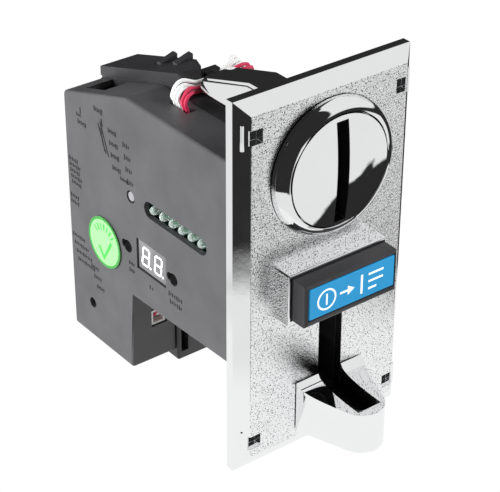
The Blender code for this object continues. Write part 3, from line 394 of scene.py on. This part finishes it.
class Room:
    """Light of the studio as seen in each direction, in degrees: azimuth from +X, elevation from level."""

    def __init__(self, tree):
        self.tree = tree
        tree.nodes.clear()
        place = self.add("ShaderNodeTexCoord").outputs["Generated"]
        split = self.add("ShaderNodeSeparateXYZ")
        tree.links.new(place, split.inputs[0])
        x, y, z = split.outputs
        self.round = self.math("DEGREES", self.math("ARCTAN2", y, x))
        self.rise = self.math("DEGREES", self.math("ARCSINE", z))
        ripple = self.add("ShaderNodeTexNoise")
        ripple.inputs["Scale"].default_value = 9.0
        tree.links.new(place, ripple.inputs["Vector"])
        self.ragged = self.math("MULTIPLY", self.math("SUBTRACT", ripple.outputs["Fac"], 0.5), 9.0)

    def add(self, kind, **settings):
        node = self.tree.nodes.new(kind)
        for key, value in settings.items():
            setattr(node, key, value)
        return node

    def math(self, operation, *values):
        node = self.add("ShaderNodeMath", operation=operation)
        for socket, value in zip(node.inputs, values):
            if isinstance(value, bpy.types.NodeSocket):
                self.tree.links.new(value, socket)
            else:
                socket.default_value = value
        return node.outputs[0]

    def step(self, value, edge, soft):
        """0 below the edge, 1 above it."""
        node = self.add("ShaderNodeMapRange", clamp=True)
        self.tree.links.new(value, node.inputs["Value"])
        node.inputs["From Min"].default_value = edge - soft / 2
        node.inputs["From Max"].default_value = edge + soft / 2
        return node.outputs["Result"]

    def window(self, left, right, bottom, top, soft=1.5):
        """1 inside a patch of wall between two azimuths and two elevations."""
        turn, rise = self.round, self.rise
        across = self.math("SUBTRACT", self.step(turn, left, soft), self.step(turn, right, soft))
        upright = self.math("SUBTRACT", self.step(rise, bottom, soft), self.step(rise, top, soft))
        return self.math("MULTIPLY", across, upright)

    def slanted_stand(self):
        """1 on a dark stand at the lower right of the front, with a slanted left side and a ragged top."""
        rise = self.math("ADD", self.rise, self.ragged)
        left = self.step(self.math("MULTIPLY_ADD", rise, -0.6, self.round), -27.0, 1.5)
        top = self.step(self.math("MULTIPLY_ADD", self.round, -0.26, rise), -20.2, 1.0)
        right = self.step(self.round, -12.0, 2.0)
        low = self.step(self.rise, -62.0, 2.0)
        stand = self.math("MULTIPLY", self.math("SUBTRACT", left, right), self.math("SUBTRACT", low, top))
        return self.math("MAXIMUM", stand, 0.0)


def world_light(tree):
    """White table below, white cards in front and at the rear left, a large soft box at the upper right,
    a dark stand and a dark room in between. Matt surfaces get even light, and the camera sees white."""
    room = Room(tree)
    table = room.math("SUBTRACT", 1.0, room.step(room.rise, TABLE_RISE, 1.2))
    front_card = room.window(-80.0, -18.0, -34.0, -9.0)
    rear_card = room.window(95.0, 168.0, -34.0, 44.0, 4.0)
    soft_box = room.window(-64.0, 33.0, 3.0, 80.0, 3.0)
    light = room.math("MAXIMUM", room.math("MAXIMUM", table, front_card),
                      room.math("MAXIMUM", rear_card, soft_box))
    dark_stand = room.slanted_stand()
    light = room.math("MULTIPLY", light, room.math("SUBTRACT", 1.0, dark_stand))
    mirrored = room.math("ADD", light, ROOM_DARK)
    path = room.add("ShaderNodeLightPath").outputs
    change = room.math("SUBTRACT", ROOM_DIFFUSE, mirrored)
    strength = room.math("MULTIPLY_ADD", path["Is Diffuse Ray"], change, mirrored)
    strength = room.math("MAXIMUM", strength, path["Is Camera Ray"])
    background = room.add("ShaderNodeBackground")
    tree.links.new(strength, background.inputs["Strength"])
    tree.links.new(background.outputs[0], room.add("ShaderNodeOutputWorld").inputs["Surface"])


def camera():
    """Long lens at the front left, looking down on the plate."""
    data = bpy.data.cameras.new("camera")
    data.sensor_width = 36.0
    data.lens = CAMERA_LENS
    data.shift_x, data.shift_y = CAMERA_SHIFT
    data.clip_start, data.clip_end = 0.01, 20.0
    made = bpy.data.objects.new("camera", data)
    SCENE.collection.objects.link(made)
    made.location = Vector(CAMERA_PLACE) * MM
    heading, tilt, roll = (math.radians(angle) for angle in CAMERA_TURN)
    turn = (Matrix.Rotation(heading, 3, "Z") @ Matrix.Rotation(tilt, 3, "X")
            @ Matrix.Rotation(roll, 3, "Z"))
    made.rotation_euler = turn.to_euler()
    SCENE.camera = made


# ------------------------------------------------------------------ finishes
CHROME = chrome("chrome_plating")
HOOD = chrome("chrome_hood", crowned=True)
# The slots in the disc, cup and plate, the button hollow and the plate's rear are painted black as shade.
DISC = chrome("chrome_disc", dark=lambda g: inside(g, COIN_SLOT_X, 2.24, (-12.6, 18.7), (-5.0, 50.9)))
CUP = chrome("chrome_cup", dark=lambda g: inside(g, RETURN_SLOT_X, 4.53, (-26.13, -47.1), (-5.0, -30.0)))
PLATE = chrome("chrome_plate_hammered", hammered=True, dark=plate_recesses)
COVER = plastic("cover_grey_black", (0.052, 0.052, 0.055), 0.42, grain=0.18, variation=0.25)
BLACK = plastic("frame_black", (0.020, 0.020, 0.022), 0.34, grain=0.12, variation=0.2)
STEEL = metal("zinc_steel", (0.62, 0.62, 0.63), 0.28)
COPPER = metal("copper_winding", (0.70, 0.33, 0.16), 0.38, (1, 14, 1), 0.3)
BOARD = plastic("solder_mask", (0.012, 0.10, 0.045), 0.38, grain=0.1, variation=0.3)
NYLON = plastic("white_nylon", (0.78, 0.78, 0.74), 0.42, grain=0.1, variation=0.15)
WHITE_SKIN = plastic("white_wire_skin", (0.80, 0.82, 0.81), 0.5, grain=0.1, wear=0.0)
RED_SKIN = plastic("red_wire_skin", (0.55, 0.035, 0.09), 0.5, grain=0.1, wear=0.0)
# Painted shade: the set buttons sunk in their holes are made near black and matt so they read as dark holes.
PAINTED_HOLE_SHADE = plastic("painted_hole_shade_black", (0.004, 0.004, 0.004), 0.9, grain=0.1, wear=0.0, Specular_IOR_Level=0.05)
COVER_INK = plastic("cover_print_ink", (0.022, 0.022, 0.023), 0.6, grain=0.1, variation=0.2, wear=0.0)


def led_glass(name):
    """Water-clear epoxy, slightly green, over a black board; a faint painted glow stands in for highlights.
    """
    g = Graph(name)
    tint_and_painted_glow = g.mix(g.span(g.noise(300.0, 2.0), 0.35, 0.65), (0.80, 0.92, 0.88), (0.92, 0.98, 0.95))
    # Painted glow: the tint also feeds the emission, which brightens the domes as highlights would.
    g.link(tint_and_painted_glow, g.shader.inputs["Emission Color"])
    ripple = g.bump(g.noise(260.0, 2.0), 0.08, 0.0002)
    return g.finish(tint_and_painted_glow, 0.03, 0.0, ripple, Transmission_Weight=0.8, IOR=1.6, Emission_Strength=0.03)


def glow(name, colour, strength, roughness=0.4):
    """A colour for print and display segments, with a glow at the given strength: painted light
    that keeps it bright and even under the film over it.
    """
    g = Graph(name)
    shade = g.mix(g.span(g.noise(180.0, 3.0), 0.3, 0.7, 0.0, 0.25), colour, tuple(c * 0.82 for c in colour))
    g.link(shade, g.shader.inputs["Emission Color"])
    film = g.bump(g.noise(900.0, 2.0), 0.04, 0.00003)
    return g.finish(shade, roughness, 0.0, film, Emission_Strength=strength)


def display_face(name):
    """Dark grey filter film, paler in random clouds."""
    g = Graph(name)
    cloud = g.span(g.noise(120.0, 3.0), 0.35, 0.65)
    shade = g.mix(cloud, (0.10, 0.10, 0.105), (0.15, 0.15, 0.155))
    return g.finish(shade, 0.22, 0.0, g.bump(g.noise(1400.0, 2.0), 0.05, 0.00003))


# ------------------------------------------------------------------ prints, and marks that glow with painted light
def on_cover(bm, outline):
    """A thin print on the side cover: outline as (y, z)."""
    add_prism(bm, outline, COVER_X - PRINT_LIFT - PRINT_T, COVER_X - PRINT_LIFT)


def bar(y0, z0, y1, z1, width):
    """Outline of a straight bar between two points."""
    along = Vector((y1 - y0, z1 - z0)).normalized() * width * 0.5
    side = Vector((-along.y, along.x))
    return [(y0 + side.x, z0 + side.y), (y1 + side.x, z1 + side.y), (y1 - side.x, z1 - side.y),
            (y0 - side.x, z0 - side.y)]


def ring(y, z, outer, inner, steps):
    """Outline of a flat ring, out along the outer circle and back along the inner one."""
    angles = [math.radians(360 * i / steps) for i in range(steps + 1)]
    far = [(y + outer * math.cos(a), z + outer * math.sin(a)) for a in angles]
    near = [(y + inner * math.cos(a), z + inner * math.sin(a)) for a in reversed(angles)]
    return far + near


def tally(bm, y, z, count, high, pitch=0.9, width=0.28):
    """A short run of upright ticks of uneven height, as a scale."""
    for k in range(count):
        tall = high * (1.0, 0.62, 0.8, 0.55, 0.9)[k % 5]
        start = y - k * pitch
        on_cover(bm, bar(start, z - tall / 2, start, z + tall / 2, width))


def cover_prints():
    """Generic setting marks: ticks beside the buttons, an arrow with a fan of scale lines, tick rows."""
    bm = bmesh.new()
    tally(bm, 84.5, 23.0, 3, 1.3)
    on_cover(bm, bar(82.5, 26.0, 82.5, 23.8, 0.3))
    tally(bm, 84.0, 20.6, 6, 1.6, 0.85)
    tally(bm, 74.2, 29.2, 6, 1.9, 0.85)
    on_cover(bm, bar(70.6, 26.8, 70.0, 24.4, 0.45))
    on_cover(bm, bar(72.4, 24.6, 68.4, 15.4, 0.32))
    on_cover(bm, bar(71.2, 25.6, 67.0, 15.0, 0.32))
    on_cover(bm, bar(71.0, 23.6, 69.2, 16.0, 0.25))
    for row in range(4):
        tally(bm, 66.6 - 0.6 * row, 24.6 - 4.1 * row, 6, 1.7, 0.8)
        tally(bm, 58.6 - 0.6 * row, 23.0 - 4.1 * row, 4, 1.9, 0.95)
    tally(bm, 60.5, 10.2, 7, 1.3, 0.75)
    for row in range(5):
        tally(bm, 90.6 - 0.35 * row, 4.8 - 2.1 * row, 6 + row % 2, 1.4, 0.95)
    for row in range(2):
        tally(bm, 90.4, -9.0 - 2.3 * row, 5, 1.6, 1.0)
    for row in range(4):
        tally(bm, 90.4 - 0.8 * row, -24.0 - 2.9 * row, 8 + row, 1.4, 0.95)
    for row in range(3):
        tally(bm, 80.0 - 1.5 * row, -31.5 - 3.4 * row, 5, 1.5, 0.9)
    tally(bm, 57.2, -19.0, 4, 1.4, 0.8)
    tally(bm, 57.2, -21.6, 4, 1.4, 0.8)
    tally(bm, 46.0, -22.8, 2, 1.4, 1.4)
    tally(bm, 35.6, -19.6, 8, 1.7, 0.95)
    tally(bm, 35.0, -22.4, 7, 1.6, 0.95)
    piece("cover_prints", mesh_of(bm, "cover_prints"), "chassis", COVER_INK)


def sticker_marks():
    """Dark rim, a ring of ticks and a check mark on the round label."""
    face = COVER_X - 0.5
    rim = bmesh.new()
    add_prism(rim, ring(STICKER_Y, STICKER_Z, STICKER_R, 8.1, 64), face - FILM_FAR, face - FILM_NEAR)
    piece("sticker_rim", mesh_of(rim, "sticker_rim"), "chassis",
          glow("sticker_rim_green", (0.035, 0.22, 0.04), 0.0))
    marks = bmesh.new()
    for k in range(7):
        angle = math.radians(38 + 17.5 * k)
        start = (STICKER_Y + 4.6 * math.cos(angle), STICKER_Z + 4.6 * math.sin(angle))
        end = (STICKER_Y + 6.9 * math.cos(angle), STICKER_Z + 6.9 * math.sin(angle))
        add_prism(marks, bar(*start, *end, 0.75 if k % 2 else 0.5), face - FILM_FAR, face - FILM_NEAR)
    check = [(73.6, -20.2), (71.4, -23.2), (67.4, -16.4), (66.4, -17.2), (71.4, -25.0), (74.6, -21.0)]
    add_prism(marks, check, face - FILM_FAR, face - FILM_NEAR)
    piece("sticker_marks", mesh_of(marks, "sticker_marks"), "chassis",
          glow("sticker_ink", (0.05, 0.36, 0.06), 0.0))


def stroke(bm, start, end, face):
    """One pointed segment of a digit between two points of its middle line."""
    along = (Vector(end) - Vector(start)).normalized()
    pa = Vector(start) + along * DIGIT_GAP
    pb = Vector(end) - along * DIGIT_GAP
    side = Vector((-along.y, along.x)) * DIGIT_STROKE
    tip = along * DIGIT_STROKE
    corners = (pa, pa + side + tip, pb + side - tip, pb, pb - side - tip, pa - side + tip)
    add_prism(bm, [tuple(corner) for corner in corners], face - PRINT_T, face - PRINT_LIFT)


def digit(bm, y, z, width, height, slant, face):
    """A seven-segment eight: y falls to the right as seen from the left side."""
    def place(u, v):
        return (y - u * width - slant * v, z + v * height)

    for height_share in (1, 0.5, 0):
        stroke(bm, place(0, height_share), place(1, height_share), face)
    for side in (0, 1):
        stroke(bm, place(side, 0.5), place(side, 1), face)
        stroke(bm, place(side, 0), place(side, 0.5), face)


def display_digits():
    """Two digits with their points on the display's face, glowing with painted light."""
    face = COVER_X + 0.5
    bm = bmesh.new()
    for y in (50.6, 43.9):
        digit(bm, y, -16.3, 3.5, 6.4, 0.7, face)
        add_prism(bm, ring(y - 4.5, -16.2, 0.42, 0.001, 12)[:13], face - PRINT_T, face - PRINT_LIFT)
    # The segments glow with painted light.
    piece("display_digits", mesh_of(bm, "display_digits"), "chassis",
          glow("digit_white", (0.95, 0.97, 0.96), 0.9))


def label_pictogram():
    """White coin, arrow and bars on the button's blue label."""
    bm = bmesh.new()

    def flat(outline):
        add_prism(bm, outline, LABEL_Y - FILM_FAR, LABEL_Y - FILM_NEAR, "Y")

    flat(ring(-9.6, -1.3, 3.6, 3.0, 40))
    flat([(-9.9, -3.2), (-9.3, -3.2), (-9.3, 0.6), (-9.9, 0.6)])
    flat([(-4.6, -1.65), (-1.6, -1.65), (-1.6, -2.9), (1.0, -1.3), (-1.6, 0.3), (-1.6, -0.95), (-4.6, -0.95)])
    flat([(3.4, -4.6), (4.2, -4.6), (4.2, 2.0), (3.4, 2.0)])
    for z in (1.2, -1.3, -3.8):
        end = 13.4 - abs(z)
        flat([(6.4, z - 0.35), (end, z - 0.35), (end, z + 0.35), (6.4, z + 0.35)])
    # The white print glows faintly with painted light.
    piece("label_pictogram", mesh_of(bm, "label_pictogram"), "reject_button",
          glow("label_white", (0.86, 0.92, 0.96), 0.25))


def wire_mesh(name, points, radius, kind="POLY"):
    """A round wire through points, as a mesh."""
    curve = bpy.data.curves.new(name, "CURVE")
    curve.dimensions = "3D"
    curve.bevel_depth = radius * MM
    curve.bevel_resolution = 3
    curve.use_fill_caps = True
    spline = curve.splines.new(kind)
    spline.points.add(len(points) - 1)
    for slot, point in zip(spline.points, points):
        slot.co = (*(Vector(point) * MM), 1.0)
    if kind == "NURBS":
        spline.order_u = 4
        spline.use_endpoint_u = True
    holder = bpy.data.objects.new(name + "_path", curve)
    SCENE.collection.objects.link(holder)
    evaluated = holder.evaluated_get(bpy.context.evaluated_depsgraph_get())
    mesh = bpy.data.meshes.new_from_object(evaluated)
    bpy.data.objects.remove(holder, do_unlink=True)
    return mesh


def button_return_spring():
    """The spring behind the button, with closed end turns."""
    length, radius, turns, steps, closed = 7.2, 1.9, 5.5, 160, 0.15
    points = []
    for i in range(steps + 1):
        share = i / steps
        first = min(share, closed) / closed
        middle = min(max(share - closed, 0.0), 1.0 - 2 * closed) / (1.0 - 2 * closed)
        last = max(share - (1.0 - closed), 0.0) / closed
        height = length * (0.06 * first + 0.88 * middle + 0.06 * last)
        angle = 2 * math.pi * turns * share
        points.append((4.3 + radius * math.cos(angle), -14.2 + height, -1.8 + radius * math.sin(angle)))
    coil = piece("button_return_spring", wire_mesh("button_return_spring", points, 0.25), "chassis", STEEL,
                 "button_spring", smooth=60)
    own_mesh(coil)


def notch_wires():
    """Thin red and white wires into the plug in the lower module's notch."""
    for number, (x, skin) in enumerate(((-18.2, RED_SKIN), (-17.0, WHITE_SKIN), (-15.9, RED_SKIN)), 1):
        points = ((x, 60.4, -44.6), (x, 58.4, -44.2), (x + 0.3, 57.9, -42.6), (x + 0.8, 58.6, -41.4),
                  (x + 1.0, 60.0, -41.0))
        mesh = wire_mesh(f"notch_wire_{number}", points, 0.45, "NURBS")
        piece(f"notch_wire_{number}", mesh, "chassis", skin, smooth=60)


def carried_over():
    """Finishes of the CAD nodes that show as they are."""
    dress(["front_panel"], PLATE, 0.28, 3)
    dress(["coin_entry_collar"], CHROME)
    dress(["coin_slot_face"], DISC)
    dress(["coin_return_cup"], CUP, 0.5, 4)
    dress(["entry_hood"], HOOD, 0.22, 3)
    dress(["left_cover"], COVER, 0.15)
    dress(["main_frame", "lane_cover", "lane_end", "gate_door", "exit_chute", "return_chute", "accept_flap",
           "exit_sensor", "slide_switch_block", "button_rod", "tact_switch_1", "tact_switch_2",
           "tact_switch_3"], BLACK, 0.12)
    dress(["button_frame"], BLACK, 0.2, 3)
    dress([n for n in NODES if "screw" in n or n == "gate_spring" or "pin" in n] +
          ["reject_lever", "solenoid_body", "solenoid_plunger", "coin_rail"], STEEL)
    dress(["sensor_coil_front", "sensor_coil_rear"], COPPER)
    dress(["circuit_board", "button_lamp_board"], BOARD)
    dress(["rear_connector", "lower_connector", "harness_socket", "switch_knob_1", "switch_knob_2"],
          NYLON, 0.08)
    dress(["set_button_1"], plastic("button_grey", (0.20, 0.20, 0.21), 0.4), 0.3)
    # Buttons 2 and 3 take the painted hole shade; button 1 keeps its grey colour.
    dress(["set_button_2", "set_button_3"], PAINTED_HOLE_SHADE)
    dress([n for n in NODES if n.startswith("harness_white")], WHITE_SKIN)
    dress([n for n in NODES if n.startswith("harness_red")], RED_SKIN)
    dress([n for n in NODES if n.startswith("status_led")], led_glass("led_epoxy"), angle=50.0)
    # The blue label glows faintly with painted light.
    dress(["button_label"], glow("label_blue", (0.006, 0.27, 0.56), 0.06, 0.2), 0.1)
    dress(["display_module"], display_face("display_filter"), 0.08)
    # The green sticker glows faintly with painted light.
    dress(["inspection_sticker"], glow("sticker_green", (0.22, 0.78, 0.20), 0.03, 0.32))


def added_pieces():
    """Pieces made here: prints, marks, the thin wires and the spring."""
    cover_prints()
    sticker_marks()
    display_digits()
    label_pictogram()
    notch_wires()
    button_return_spring()


studio()
camera()
carried_over()
added_pieces()
